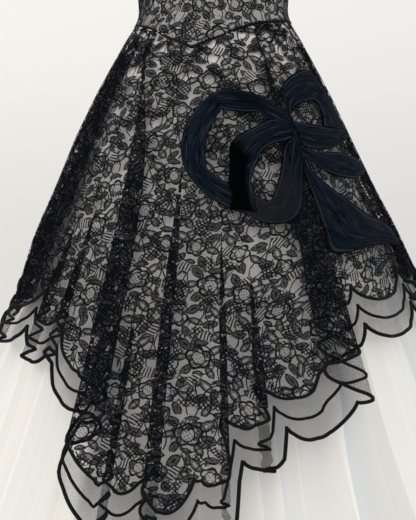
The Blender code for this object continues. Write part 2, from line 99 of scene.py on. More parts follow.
# Sideways lean of the net border's cut: angle, share of its width.
BORDER_LEAN = np.array([
    (-60, 0.00), (-42, -0.06), (-34.2, -0.20), (-32, 0.00), (-26, 0.00), (-15.6, 0.22), (-11, 0.08),
    (-6.4, -0.06), (2, 0.00), (15, 0.30), (22.5, 0.47), (35.8, 0.19), (47, 0.10), (60, 0.00),
])

# Folds: angle at the hem, drift of the upper end, half width (degrees), height (m), drops where it starts and
# is full, side it leans to, how far it doubles back, drops where the doubling starts and is full.
FOLDS = np.array([
    (-156, 0, 7.0, 0.010, 0.16, 0.38, -1, 0.20, 0.16, 0.38),
    (-132, 0, 7.0, 0.011, 0.14, 0.38, -1, 0.20, 0.14, 0.38),
    (-108, 0, 6.5, 0.011, 0.16, 0.38, -1, 0.22, 0.16, 0.38),
    (-80, 0, 6.0, 0.008, 0.18, 0.38, -1, 0.25, 0.18, 0.38),
    (-50, 0, 5.0, 0.008, 0.18, 0.40, -1, 0.25, 0.18, 0.40),
    (-32, -3, 1.5, 0.006, 0.32, 0.45, -1, 1.00, 0.26, 0.52),
    (-25, -4, 1.5, 0.007, 0.26, 0.44, -1, 1.00, 0.30, 0.56),
    (-11.5, -21, 4.0, 0.012, 0.12, 0.40, -1, 1.00, -0.02, 0.29),
    (-5.2, -4, 1.0, 0.006, 0.42, 0.60, -1, 0.90, 0.40, 0.56),
    (2.4, 1, 2.05, 0.009, 0.25, 0.50, -1, 0.90, 0.18, 0.42),
    (14.9, 3, 1.15, 0.007, 0.34, 0.50, 1, 1.00, 0.30, 0.50),
    (22.1, 0, 1.6, 0.007, 0.40, 0.52, 1, 1.00, 0.36, 0.56),
    (41.0, 0, 6.1, 0.012, 0.34, 0.48, 1, 1.00, -0.04, 0.33),
    (81, 0, 5.0, 0.011, 0.38, 0.47, 1, 0.80, 0.30, 0.44),
    (108, 0, 6.5, 0.011, 0.16, 0.38, 1, 0.22, 0.16, 0.38),
    (132, 0, 7.0, 0.011, 0.14, 0.38, 1, 0.20, 0.14, 0.38),
    (156, 0, 7.0, 0.010, 0.16, 0.38, 1, 0.20, 0.16, 0.38),
])
ANGLE, DRIFT, HALF, HEIGHT, START, FULL, LEAN, DOUBLED, PLEAT_START, PLEAT_FULL = range(10)
LEAST_HEIGHT = 0.3
FOLD_SECTION = np.array([
    (-1.00, -1.00, 0.00), (-0.785, -0.48, 0.48), (-0.527, 0.16, 0.92), (-0.358, 0.60, 1.00),
    (-0.273, 0.68, 0.52), (0.00, 0.00, 0.00), (0.273, -0.68, -0.52), (0.358, -0.60, -1.00),
    (0.527, -0.16, -0.92), (0.785, 0.48, -0.48), (1.00, 1.00, 0.00),
])
DRIFT_FROM = 0.10
DRIFT_FADE = 0.09

# Soft creases between the folds: angle, half width (degrees), height (m), drops where it starts and is full.
CREASES = np.array([
    (18.6, 1.6, 0.0030, 0.30, 0.52), (9.0, 2.0, 0.0022, 0.20, 0.60), (-17.5, 1.6, 0.0025, 0.30, 0.50),
    (-40.0, 2.2, 0.0030, 0.20, 0.40), (-62.0, 3.0, 0.0030, 0.20, 0.40), (30.0, 2.5, 0.0020, 0.35, 0.60),
    (56.0, 2.6, 0.0030, 0.36, 0.48), (66.0, 2.6, 0.0030, 0.38, 0.48), (94.0, 3.0, 0.0030, 0.20, 0.40),
    (120.0, 4.0, 0.0040, 0.15, 0.35), (144.0, 4.0, 0.0040, 0.15, 0.35), (168.0, 4.0, 0.0040, 0.15, 0.35),
    (-120.0, 4.0, 0.0040, 0.15, 0.35), (-144.0, 4.0, 0.0040, 0.15, 0.35), (-168.0, 4.0, 0.0040, 0.15, 0.35),
    (-92.0, 3.0, 0.0030, 0.20, 0.40),
])

# Small uneven waves of the lace between its folds: height, drop they start at, stretch they grow over.
LACE_WAVE, LACE_WAVE_FROM, LACE_WAVE_OVER = 0.7 * MM, 0.14, 0.3

# Panels of the overskirt: side, first and last angle, middle, step between columns (degrees), lace rows.
PANELS = (("front", -SIDE_SEAM, SIDE_SEAM, 0, 0.6, 84), ("back", SIDE_SEAM, 360 - SIDE_SEAM, 180, 1.0, 50))
BORDER_ROWS = 9
FOLD_COLUMNS = 33
CUSP_COLUMNS = (-0.5, -0.2, -0.06, 0, 0.06, 0.2, 0.5)
LEAST_STEP = 0.03

# Cords of the border: name, row of the border that each lies on, radius (mm), the solid that it stands for.
HEM_CORDS = (("cord_lace_hem", 0, 2.3, "cord_lace_edge"), ("cord_net_middle", 4, 2.1, None),
             ("cord_net_edge", 8, 2.6, "cord_outer_edge"))
WAIST_CORD_RADIUS, WAIST_CORD_OUT, WAIST_CORD_POINTS = 1.15 * MM, 0.4 * MM, 240

# Unrolled cone: the turns (degrees) and the levels it is worked out at, and its slant above the first level.
UNROLL_TURNS, UNROLL_LEVELS, UNROLL_ABOVE = np.linspace(-100, 100, 1601), np.linspace(0.03, 0.90, 60), 0.26

# Underskirt: drop, how far it lies inside the overskirt, height of its waves.
UNDERSKIRT = np.array([
    (0.000, 0.0020, 0.000), (0.050, 0.0020, 0.000), (0.100, 0.0050, 0.000), (0.200, 0.0130, 0.001),
    (0.300, 0.0180, 0.002), (0.450, 0.0220, 0.003), (0.700, 0.0360, 0.009), (1.040, 0.0150, 0.018),
])
UNDERSKIRT_LOWER = 0.7 * MM

# Gores: side, first angle. Then their turn (degrees), columns, rows, wall, small waves and slant.
GORES = (("front", -45), ("left", 45), ("back", 135), ("right", 225))
GORE_TURN, GORE_COLUMNS, GORE_ROWS = 90, 160, 52
TULLE_WALL = 1.4 * MM
TULLE_WAVE, TULLE_WAVE_FROM, TULLE_WAVE_OVER = 1.6 * MM, 0.3, 0.5
TULLE_SLANT = 1.12

# Bodice pieces: name, first and last angle, columns.
BODICE_PIECES = (("front", -SIDE_SEAM, SIDE_SEAM, 130), ("back_left", SIDE_SEAM, 180, 60),
                 ("back_right", 180, 360 - SIDE_SEAM, 60))
BODICE_ROWS = 44
BODICE_WALL = 1.6 * MM
BODICE_RADIUS = 0.125

# Underlays: the hidden part of a deep side pleat, from one angle to another, and how many layers it has.
UNDERLAYS = (("right", -78.0, -39.5, 2), ("left", 79.0, 104.0, 2))

# Their rows and step between columns, how much narrower the next one is (degrees), how far inside the lace's
# top and hem they end (m), how far behind it and each other they lie (mm), and their shift on flat cloth (m).
UNDERLAY_ROWS, UNDERLAY_STEP = 60, 0.8
UNDERLAY_NARROWER = 0.6
UNDERLAY_TOP, UNDERLAY_HEM = 0.012, 0.008
UNDERLAY_BEHIND, UNDERLAY_APART = 2.4, 1.6
UNDERLAY_SHIFT = (0.031, 0.019)

# Bow: cuts across each ribbon strip along its length, as angle and drop (mm) of one edge, then of the other.
BOW_LEFT_LOOP = np.array([
    (44.0, 203, 42.8, 215), (41.2, 193, 38.0, 212), (37.2, 181, 34.4, 206), (31.9, 171, 31.5, 198),
    (26.8, 167, 26.8, 199), (22.5, 164, 22.1, 198), (18.1, 164, 18.3, 196), (13.8, 169, 16.1, 194),
    (9.6, 179, 14.2, 205), (5.8, 194, 12.4, 218), (3.1, 213, 11.1, 231), (1.5, 237, 10.3, 249),
    (1.7, 257, 10.1, 263), (3.2, 279, 10.7, 279), (5.7, 294, 12.3, 288), (9.0, 311, 14.6, 295),
    (12.1, 323, 16.8, 300), (15.0, 331, 19.3, 306), (17.8, 338, 22.1, 311), (22.0, 344, 25.1, 316),
    (24.6, 351, 27.2, 321), (27.0, 357, 28.9, 327), (30.5, 359, 30.6, 325), (34.8, 356, 32.1, 315),
    (38.1, 346, 33.7, 301), (40.3, 329, 35.3, 286), (42.1, 307, 36.9, 268), (43.5, 284, 38.0, 253),
    (44.4, 264, 40.0, 242), (44.2, 246, 42.0, 236), (43.8, 234, 42.7, 229),
])
BOW_CROSS_BAND = np.array([
    (44.4, 206, 43.6, 232), (39.4, 206, 39.5, 240), (34.1, 210, 35.1, 244), (28.7, 220, 31.3, 252),
    (24.6, 227, 29.0, 261), (20.8, 237, 27.6, 273), (18.7, 249, 26.1, 284), (18.4, 266, 25.2, 294),
    (18.1, 286, 24.9, 303), (17.7, 306, 25.3, 313), (17.6, 323, 26.2, 326), (17.7, 338, 26.9, 343),
])
BOW_RIGHT_LOOP = np.array([
    (43.5, 196, 44.7, 199), (43.9, 179, 46.6, 192), (44.8, 162, 49.6, 186), (49.0, 147, 53.0, 181),
    (56.1, 135, 56.7, 178), (66.1, 125, 60.4, 175), (73.8, 129, 63.5, 175), (76.8, 144, 65.4, 181),
    (79.6, 161, 65.3, 190), (81.5, 180, 64.8, 198), (83.1, 199, 63.2, 205), (82.0, 215, 62.5, 212),
])
BOW_RIGHT_BAND = np.array([
    (44.7, 210, 44.8, 236), (48.0, 210, 46.6, 244), (52.0, 211, 50.2, 249), (57.5, 212, 54.6, 250),
    (63.7, 214, 60.1, 247), (71.2, 214, 66.3, 241), (82.5, 214, 78.2, 226),
])
BOW_UPPER_TAIL = np.array([
    (44.2, 236, 44.1, 242), (45.9, 247, 45.4, 256), (49.4, 251, 47.9, 263), (53.3, 253, 50.3, 271),
    (58.2, 252, 54.9, 282), (63.7, 251, 58.8, 287), (70.3, 252, 62.3, 289), (77.2, 256, 69.4, 289),
    (87.2, 260, 80.5, 280),
])
BOW_LOWER_TAIL = np.array([
    (44.8, 243, 44.1, 248), (44.8, 264, 44.3, 268), (46.7, 275, 44.3, 284), (50.6, 289, 44.8, 305),
    (53.8, 301, 45.0, 323), (57.1, 312, 45.0, 341), (60.9, 322, 45.2, 359), (64.7, 332, 45.3, 373),
    (69.8, 342, 45.3, 396), (77.2, 349, 51.5, 398), (81.1, 358, 59.1, 391), (85.3, 365, 67.9, 386),
    (88.6, 378, 80.0, 386),
])

# Strips: name, table, the solids it stands for, its look, points along, points across, pleats, height of the
# middle (mm), height above the lace (mm).
BOW_STRIPS = (
    ("ribbon_left_loop", BOW_LEFT_LOOP, ("bow_left_loop",), "loop_ribbon", 150, 31, 7, 2.4, 1.0),
    ("ribbon_cross_band", BOW_CROSS_BAND, ("bow_cross_band", "bow_inner_band"), "shadowed_ribbon", 90, 31, 8,
     2.0, 2.6),
    ("ribbon_right_loop", BOW_RIGHT_LOOP, ("bow_right_loop",), "ribbon", 90, 31, 7, 2.0, 0.8),
    ("ribbon_right_band", BOW_RIGHT_BAND, (), "ribbon", 50, 31, 7, 2.0, 2.4),
    ("ribbon_upper_tail", BOW_UPPER_TAIL, ("bow_upper_tail",), "ribbon", 50, 25, 6, 1.6, 1.4),
    ("ribbon_lower_tail", BOW_LOWER_TAIL, ("bow_lower_tail",), "ribbon", 70, 37, 5, 1.6, 0.6),
)
RIBBON_WALL = 0.8 * MM

# Knot: angle, drop, half width, half height, rise of its middle. Then its rows, columns, groove and lift.
KNOT = (44.2, 0.221, 0.009, 0.023, 0.006)
KNOT_ROWS, KNOT_COLUMNS = 36, 30
KNOT_GROOVE, KNOT_LIFT = 0.8, 3.4 * MM

# Places round a point of the ribbon where the lace is felt for: turn, drop. Then the lace's slope.
FEELERS = ((0, 0), (1.5, 0), (-1.5, 0), (0, 0.006), (0, -0.006))
LACE_SLOPE = 0.48

# The photograph's camera: degrees round from the front, distance, height, metres a pixel at the axis.
CAMERA_AZIMUTH = 13.0
CAMERA_DISTANCE = 2.2
CAMERA_HEIGHT = -0.408
PIXEL = 0.001556
HALF_PHOTO = 260
CENTRE_OFF = -5

# Lamps: name, degrees round from the front, height, distance, size (m), power (W).
LAMPS = (("key", -40, 0.7, 2.8, 1.8, 13), ("fill", 60, 0.2, 2.8, 1.8, 5))
LAMP_COLOUR = (1.0, 0.985, 0.96)
LAMP_AIM = (0, 0, -0.45)
FLOOR_RADIUS, FLOOR_CORNERS = 1.3, 96
FLOOR_LEVEL = -FLOOR_DROP - 0.5 * MM

# Lace: one cell of the repeat (mm), the second repeat's cell, place and turn, and its sways (grain, reach).
CELL = (72.0, 52.5)
SECOND_CELL = (67.0, 53.0)
SECOND_PLACE = (11, 7, 27)
LACE_SWAYS = ((0.02, 9.0), (0.13, 2.2))
SOFT = 0.3

# Leaves of one cell: x, y, turn (degrees), half length, half width (mm), 1 where its middle is open.
LEAVES = (
    (21.5, 14.0, 38, 12.0, 5.6, 1), (27.0, -4.0, -18, 11.0, 5.2, 0), (16.5, -19.0, -52, 9.5, 4.8, 1),
    (-20.5, 15.5, 142, 11.0, 5.4, 0), (-26.0, -2.5, 196, 10.5, 4.8, 1), (-15.5, -19.5, 236, 9.5, 4.8, 0),
    (1.5, 21.6, 8, 9.5, 4.0, 0), (33.0, 20.0, 84, 8.0, 4.0, 1), (0.5, -22.2, 172, 7.0, 3.4, 1),
)
SECOND_LEAVES = (
    (-18.0, 10.0, 30, 14.0, 6.4, 1), (15.0, 14.0, -40, 12.0, 5.2, 0), (-15.0, -13.0, -24, 10.5, 4.6, 0),
    (15.0, -12.0, 62, 12.5, 5.4, 1),
)
LEAF_LINE, SECOND_LINE = 0.95, 0.9
SECOND_SHARE, PATCH_SHARE = 0.56, 0.44

# Rose of one cell (mm): its reach, height and unevenness of its petals, where they start, its ring and heart.
ROSE_PETALS = 5
ROSE_REACH, ROSE_PETAL, ROSE_UNEVEN = 14.2, 4.0, 1.4
PETALS_FROM, ROSE_RING, ROSE_HEART = 9.0, 8.6, 7.0
ODD_ROSE = -0.2
STEM_RADIUS, STEM_HALF = 21.0, 1.0

# Group of hatched bars in one cell of the second repeat: place and turn, half length and half height (mm).
HATCH_PLACE = (-2.0, 20.0, 38)
HATCH_HALF = (10.0, 6.6)

LINE_THREAD = (0.0034, 0.0042, 0.0070, 1)
FILL_THREAD = (0.0265, 0.0255, 0.0305, 1)
LINING = (0.365, 0.365, 0.36, 1)
CLOTH_ROUGHNESS = 0.8

# Where painted shade darkens the bodice towards its sides: degrees to each side of a middle angle, which
# faces the camera.
BODICE_MIDDLE, SIDE_SHADE_AT = 13.0, 78.0

# Painted shading of the tulle's folds: pitch (degrees), place in the noise, depth.
TULLE_FOLD_SHADING = ((13.0, 2.0, 0.9), (5.2, 9.0, 0.4))

# A stretch past the ribbon's end.
NOWHERE = (1.5, 1.6)


def smooth_step(value):
    held = np.clip(value, 0.0, 1.0)
    return held * held * (3 - 2 * held)


def risen(drops, start, full):
    return smooth_step((drops - start) / (full - start))


def fine_curve(table, count=600):
    """A dense table along a smooth curve through the rows; the first column is the place along it."""
    at = table[:, 0]
    dense = np.linspace(at[0], at[-1], count)
    spot = np.clip(np.searchsorted(at, dense, side="right") - 1, 0, len(at) - 2)
    width = (at[1:] - at[:-1])[spot]
    share = (dense - at[spot]) / width
    columns = [dense]
    for which in range(1, table.shape[1]):
        value = table[:, which]
        slope = np.gradient(value, at)
        start, end = value[spot], value[spot + 1]
        rise, fall = slope[spot] * width, slope[spot + 1] * width
        columns.append((1 + 2 * share) * (1 - share) ** 2 * start + share * (1 - share) ** 2 * rise
                       + share ** 2 * (3 - 2 * share) * end + share ** 2 * (share - 1) * fall)
    return np.stack(columns, axis=1)


SKIRT_FINE = fine_curve(SKIRT)
BODICE_FINE = fine_curve(BODICE)
FOLD_FINE = fine_curve(FOLD_SECTION)
UNDERSKIRT_FINE = fine_curve(UNDERSKIRT)


def column(table, at, which):
    return np.interp(at, table[:, 0], table[:, which])


def wrap(angle):
    return (np.asarray(angle, float) + 180) % 360 - 180


def seam_drop(angle):
    return column(WAIST_SEAM, np.abs(wrap(angle)), 1)


def ellipse_radius(angle, half_width, half_depth):
    turn = np.radians(angle)
    return half_width * half_depth / np.hypot(half_depth * np.sin(turn), half_width * np.cos(turn))


def skirt_radius(angle, drop):
    away = wrap(angle - HANGS_IN_ANGLE) / HANGS_IN_SPREAD
    hangs_in = np.interp(drop, HANGS_IN[:, 0], HANGS_IN[:, 1]) * smooth_step(1 - np.abs(away))
    return ellipse_radius(angle, column(SKIRT_FINE, drop, 1), column(SKIRT_FINE, drop, 2)) - hangs_in


def placed(angle, radius, height):
    turn = np.radians(angle)
    return np.stack(np.broadcast_arrays(radius * np.sin(turn), -radius * np.cos(turn), height), axis=-1)


def beside_basque(angle):
    steps = [np.abs(seam_drop(angle + turn) - seam_drop(angle)) for turn in (-1, 1)]
    radius = skirt_radius(angle, seam_drop(angle))
    return BESIDE_BASQUE * np.hypot(1, np.maximum(*steps) / (radius * math.radians(1)))


def drift(labels):
    """How far the upper end of each column stands aside, in degrees."""
    ends = np.concatenate([[-180], FOLDS[:, ANGLE], [180]])
    return np.interp(labels, ends, np.concatenate([[0], FOLDS[:, DRIFT], [0]]))


def overskirt_points(labels, drops):
    """Points of the overskirt: labels are angles of its columns, which the folds and their drift move."""
    labels, drops = np.broadcast_arrays(wrap(labels), drops)
    sideways, outward = np.zeros(labels.shape), np.zeros(labels.shape)
    for fold in FOLDS:
        along = (labels - fold[ANGLE]) / fold[HALF]
        inside = np.abs(along) < 1
        grown = inside * risen(drops, fold[START], fold[FULL])
        pleated = inside * risen(drops, fold[PLEAT_START], fold[PLEAT_FULL])
        across = fold[LEAN] * column(FOLD_FINE, fold[LEAN] * along, 1)
        sideways += pleated * fold[DOUBLED] * (across - along) * fold[HALF]
        high = np.maximum(grown, LEAST_HEIGHT * pleated)
        outward += high * fold[HEIGHT] * column(FOLD_FINE, fold[LEAN] * along, 2)
    for angle, half, height, start, full in CREASES:
        outward += height * smooth_step(1 - np.abs(labels - angle) / half) * risen(drops, start, full)
    turn = np.radians(labels)
    sway = np.sin(31 * turn + 5 * np.sin(3 * turn)) + 0.7 * np.sin(47 * turn + 2.0 + 9 * drops)
    outward += LACE_WAVE * sway * smooth_step((drops - LACE_WAVE_FROM) / LACE_WAVE_OVER)
    fade = np.exp(-(np.maximum(drops, DRIFT_FROM) - DRIFT_FROM) / DRIFT_FADE)
    angle = labels + drift(labels) * fade + sideways
    return placed(angle, skirt_radius(angle, drops) + outward, -drops)


def edge_drop(labels):
    """Drop of the scalloped lace edge."""
    here = wrap(labels)
    after = np.clip(np.searchsorted(CUSPS, here, side="right"), 1, len(CUSPS) - 1)
    share = (here - CUSPS[after - 1]) / (CUSPS[after] - CUSPS[after - 1])
    return column(HEM, here, 1) + SCALLOP_DEPTH * np.maximum(1 - (2 * share - 1) ** 2, 0.0) ** 0.75


def border_spot(labels, share):
    """Labels and drops of a line on the net border: share 0 at the lace edge, 1 at the outer edge."""
    edge = edge_drop(labels)
    reach = share * BORDER_WIDTH
    sideways = reach * column(BORDER_LEAN, wrap(labels), 1)
    return labels + np.degrees(sideways / skirt_radius(labels, edge)), edge + reach * BORDER_FALL


def panel_columns(first, last, step):
    """Column angles of a panel: even steps, with more at the folds' turns and round each cusp."""
    fixed = list(np.arange(first, last + step / 2, step))
    for turn in (0, 360):
        for fold in FOLDS:
            fixed += list(fold[ANGLE] + turn + fold[HALF] * np.linspace(-1, 1, FOLD_COLUMNS))
        for cusp in CUSPS:
            fixed += [cusp + turn + side for side in CUSP_COLUMNS]
    fixed = sorted(angle for angle in fixed if first <= angle <= last)
    kept = [first]
    for angle in fixed:
        if angle - kept[-1] > LEAST_STEP:
            kept.append(angle)
    kept[-1] = last
    return np.array(kept)


def rows_between(labels, top, low, count):
    """Labels and drops (or heights) of a grid with even rows from one edge to another."""
    levels = top + np.linspace(0, 1, count)[:, None] * (low - top)
    return np.broadcast_to(labels, levels.shape), levels


def unit(vectors):
    return vectors / np.maximum(np.linalg.norm(vectors, axis=-1, keepdims=True), 1e-12)


def grid_normals(grid):
    return unit(np.cross(np.gradient(grid, axis=0), np.gradient(grid, axis=1)))


def add_places(piece, places, name):
    """Stores a place for each point of a piece."""
    mesh = piece.data
    layer = mesh.uv_layers.new(name=name)
    corners = np.empty(len(mesh.loops), dtype=np.int32)
    mesh.loops.foreach_get("vertex_index", corners)
    layer.data.foreach_set("uv", np.asarray(places, dtype=np.float32)[corners].ravel())


def add_object(name, data):
    made = bpy.data.objects.new(name, data)
    bpy.context.collection.objects.link(made)
    return made


def new_mesh(name, points, faces, look):
    mesh = bpy.data.meshes.new(name)
    mesh.from_pydata([tuple(point) for point in points], [], faces)
    mesh.materials.append(look)
    return mesh


def add_mesh(name, points, faces, look, flat):
    """A mesh piece; flat gives each point's place on the flat cloth, in metres."""
    mesh = new_mesh(name, points, faces, look)
    mesh.polygons.foreach_set("use_smooth", [True] * len(mesh.polygons))
    piece = add_object(name, mesh)
    add_places(piece, flat, "flat")
    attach(piece, "root")
    return piece


def sheet_faces(rows, columns):
    index = np.arange(rows * columns).reshape(rows, columns)
    corners = [index[:-1, :-1], index[1:, :-1], index[1:, 1:], index[:-1, 1:]]
    return np.stack(corners, axis=-1).reshape(-1, 4).tolist()


def wall_faces(rows, columns):
    """Faces of a closed wall: the outer grid's points come first, then the inner grid's."""
    outer = np.array(sheet_faces(rows, columns))
    inner = outer[:, ::-1] + rows * columns
    index = np.arange(rows * columns).reshape(rows, columns)
    rim = np.concatenate([index[0, :-1], index[:-1, -1], index[-1, :0:-1], index[:0:-1, 0]])
    after = np.roll(rim, -1)
    edges = np.stack([rim, after, after + rows * columns, rim + rows * columns], axis=-1)
    return np.concatenate([outer, inner, edges]).tolist()


def add_sheet(name, grid, look, flat):
    rows, columns = grid.shape[:2]
    return add_mesh(name, grid.reshape(-1, 3), sheet_faces(rows, columns), look, flat.reshape(-1, 2))


def add_wall(name, grid, thickness, look, flat):
    rows, columns = grid.shape[:2]
    half = 0.5 * thickness * grid_normals(grid)
    points = np.concatenate([(grid + half).reshape(-1, 3), (grid - half).reshape(-1, 3)])
    both = np.concatenate([flat.reshape(-1, 2)] * 2)
    return add_mesh(name, points, wall_faces(rows, columns), look, both)


def add_wall_places(piece, across, along, name):
    """Stores a place for each point of a wall, the same on both of its sides."""
    places = np.stack(np.broadcast_arrays(across, along), axis=-1).reshape(-1, 2)
    add_places(piece, np.concatenate([places, places]), name)


def cloth_area(grid):
    cross = np.cross(grid[1:, 1:] - grid[:-1, :-1], grid[1:, :-1] - grid[:-1, 1:])
    return float(np.linalg.norm(cross, axis=-1).sum() / 2)


def declare_sheet(grid):
    """Works out a sheet's cut, its longest row by its longest column, and its area, but does nothing with
    them.
    """
    width = float(np.linalg.norm(np.diff(grid, axis=1), axis=-1).sum(axis=1).max())
    length = float(np.linalg.norm(np.diff(grid, axis=0), axis=-1).sum(axis=0).max())
    area = cloth_area(grid)
    if area > width * length:
        length = area / width


def add_ring_cord(name, path, normals, radius, sides=8):
    """A round cord along a line that closes on itself."""
    along = unit(np.roll(path, -1, axis=0) - np.roll(path, 1, axis=0))
    across = unit(np.cross(along, normals))
    out = np.cross(across, along)
    turns = 2 * math.pi * np.arange(sides) / sides
    rings = [path + radius * (math.cos(turn) * out + math.sin(turn) * across) for turn in turns]
    points = np.stack(rings, axis=1).reshape(-1, 3)
    count = len(path)
    faces = []
    for place in range(count):
        here, after = place * sides, (place + 1) % count * sides
        for side in range(sides):
            other = (side + 1) % sides
            faces.append((here + side, here + other, after + other, after + side))
    length = np.concatenate([[0], np.cumsum(np.linalg.norm(np.diff(path, axis=0), axis=1))])
    flat = np.stack(np.broadcast_arrays(length[:, None], turns[None, :] * radius), axis=-1)
    piece = add_mesh(name, points, faces, CORD, flat.reshape(-1, 2))
    return piece


def add_node(tree, kind, sockets=(), **settings):
    """A new node; sockets names its inputs, each with a constant or with the value it is linked to."""
    node = tree.nodes.new("ShaderNode" + kind)
    for key, setting in settings.items():
        setattr(node, key, setting)
    for key, value in dict(sockets).items():
        value = getattr(value, "socket", value)
        if hasattr(value, "is_output"):
            tree.links.new(value, node.inputs[key])
        elif value is not None:
            node.inputs[key].default_value = value
    return node


def new_value(tree, kind, sockets=(), wanted=0, **settings):
    return Value(tree, add_node(tree, kind, sockets, **settings).outputs[wanted])


class Value:
    """An output in a node tree. Arithmetic and the calls below add the nodes that work on it."""

    def __init__(self, tree, socket):
        self.tree, self.socket = tree, socket

    def math(self, operation, *others):
        return new_value(self.tree, "Math", enumerate((self, *others)), operation=operation)

    def __add__(self, other):
        return self.math("ADD", other)

    def __sub__(self, other):
        return self.math("SUBTRACT", other)

    def __mul__(self, other):
        return self.math("MULTIPLY", other)

    def __truediv__(self, other):
        return self.math("DIVIDE", other)

    def __abs__(self):
        return self.math("ABSOLUTE")

    def rest(self):
        """What is left of 1."""
        return self * -1.0 + 1.0

    def stripes(self, pitch):
        """0 at the middle of each stripe, 1 half way between two."""
        return abs((self * (math.pi / pitch)).math("SINE"))

    def vector(self, operation, other=None):
        sockets = {0: self, "Scale" if operation == "SCALE" else 1: other}
        wanted = "Value" if operation in ("LENGTH", "DOT_PRODUCT") else "Vector"
        return new_value(self.tree, "VectorMath", sockets, wanted, operation=operation)

    def parts(self):
        return [new_value(self.tree, "SeparateXYZ", {0: self}, axis) for axis in "XY"]

    def join(self, y):
        return new_value(self.tree, "CombineXYZ", {"X": self, "Y": y})

    def local(self, x, y, degrees):
        """The vector seen from a place, turned."""
        sockets = {"Vector": self, "Location": (x, y, 0), "Rotation": (0, 0, math.radians(degrees))}
        return new_value(self.tree, "Mapping", sockets, vector_type="TEXTURE")

    def ramp(self, first, last, low=0.0, high=1.0, kind="LINEAR"):
        """Runs from low to high while the value runs from first to last."""
        sockets = {"Value": self, "From Min": first, "From Max": last, "To Min": low, "To Max": high}
        return new_value(self.tree, "MapRange", sockets, clamp=True, interpolation_type=kind)

    def below(self, limit, soft=SOFT):
        """1 where the value is under the limit, 0 over it, with a soft step between."""
        return self.ramp(limit - soft, limit + soft, 1, 0)

    def above(self, limit, soft=SOFT):
        return self.ramp(limit - soft, limit + soft)

    def near(self, middle, half, soft=SOFT):
        """1 where the value is closer to the middle than half, 0 elsewhere."""
        return abs(self - middle).below(half, soft)

    def between(self, first, last, soft):
        return self.below(last, soft) * self.above(first, soft)

    def noise(self, detail, wanted="Fac"):
        sockets = {"Vector": self, "Scale": 1.0, "Detail": detail}
        return new_value(self.tree, "TexNoise", sockets, wanted, noise_dimensions="3D")

    def cloud(self, across, along, detail=1.0, wanted="Fac"):
        """Noise with so many grains a millimetre across and along."""
        return self.vector("MULTIPLY", (across, along, 0)).noise(detail, wanted)

    def mix(self, first, second):
        """The first colour where the value is 0, the second where it is 1."""
        return new_value(self.tree, "Mix", {0: self, 6: first, 7: second}, 2, data_type="RGBA")

    def bump(self, strength, distance):
        sockets = {"Height": self, "Strength": strength, "Distance": distance}
        return new_value(self.tree, "Bump", sockets)


def empty_tree(owner):
    owner.use_nodes = True
    owner.node_tree.nodes.clear()
    return owner.node_tree


def new_look(name):
    look = bpy.data.materials.new(name)
    return look, empty_tree(look)


def surface(look, colour, roughness, normal=None, alpha=None, shine=0.0):
    """Gives a look its Principled surface, seen through where alpha is under 1."""
    sockets = {"Base Color": colour, "Roughness": roughness, "Normal": normal, "Alpha": alpha,
               "Specular IOR Level": shine}
    end = new_value(look.node_tree, "BsdfPrincipled", sockets)
    add_node(look.node_tree, "OutputMaterial", {"Surface": end})
    return look


def stored_places(tree, name):
    return new_value(tree, "UVMap", uv_map=name)


def cloth_places(tree):
    """The place on the flat cloth, in millimetres."""
    return stored_places(tree, "flat").vector("MULTIPLY", (1000, 1000, 0))


def largest(most, *values):
    for value in values:
        most = most.math("MAXIMUM", value)
    return most


def repeated(vector, wide, high):
    """The place in one cell of a brick repeat, mirrored in odd rows, and 1 in those rows."""
    x, y = vector.parts()
    odd = (y / high).math("FLOOR").math("FLOORED_MODULO", 2.0)
    in_x = (odd * (wide / 2) + x).math("FLOORED_MODULO", wide) - wide / 2
    in_y = y.math("FLOORED_MODULO", high) - high / 2
    return (in_x * (odd * -2.0 + 1.0)).join(in_y), odd


def crossed_bars(vector, pitch, width, soft):
    """Bars both ways, with openings between them."""
    x, y = vector.parts()
    return x.stripes(pitch).math("MINIMUM", y.stripes(pitch)).below(width, soft)


def rose_masks(cloth, cell, odd):
    """Lines, fills and whole area of the rose in the middle of each cell."""
    x, y = cell.parts()
    turn = y.math("ARCTAN2", x)
    far = cell.vector("LENGTH") / (odd * ODD_ROSE + 1.0)
    petal = abs((turn * (ROSE_PETALS / 2) + 0.4).math("SINE"))
    uneven = (turn * 2.0 + 1.3).math("SINE")
    outer = far - (petal * ROSE_PETAL + (uneven * ROSE_UNEVEN + ROSE_REACH))
    rough = cloth.cloud(0.16, 0.16)
    rim = (abs(outer + 1.4) - (rough * 3.6 + 0.1)).below(0.0)
    area = outer.below(0.0)
    petals = area * far.above(PETALS_FROM)
    notch = petals * (petal * far).below(2.6, 0.8)
    heart_x, heart_y = cell.local(0, 0, 35).parts()
    dashes = heart_x.stripes(3.6).below(0.5, 0.2) * heart_y.stripes(4.6).below(0.68, 0.2)
    lines = largest(rim, far.near(ROSE_RING, 1.0), notch, far.below(ROSE_HEART) * dashes)
    return lines, petals * rough.below(0.54, 0.05), area


def leaf_distances(cell, leaves):
    """Distance outside the nearest solid leaf and the nearest open leaf, each a lens between two arcs."""
    nearest = [None, None]
    for x, y, degrees, half_long, half_wide, is_open in leaves:
        radius = (half_long ** 2 + half_wide ** 2) / (2 * half_wide)
        folded = cell.local(x, y, degrees).vector("ABSOLUTE")
        leaf = folded.vector("ADD", (0, radius - half_wide, 0)).vector("LENGTH") - radius
        known = nearest[is_open]
        nearest[is_open] = known.math("MINIMUM", leaf) if known else leaf
    return nearest


def leaf_masks(cell, leaves, line):
    """Lines, fills and whole area of the leaves of one cell."""
    solid, opened = leaf_distances(cell, leaves)
    lines = largest(solid.near(0.0, line), opened.near(0.0, line), solid.below(-3.6, 0.5),
                    opened.near(-3.4, 0.45))
    rim = opened.below(0.0) * opened.above(-2.6)
    return lines, largest(solid.below(0.0), rim), solid.math("MINIMUM", opened).below(0.0)


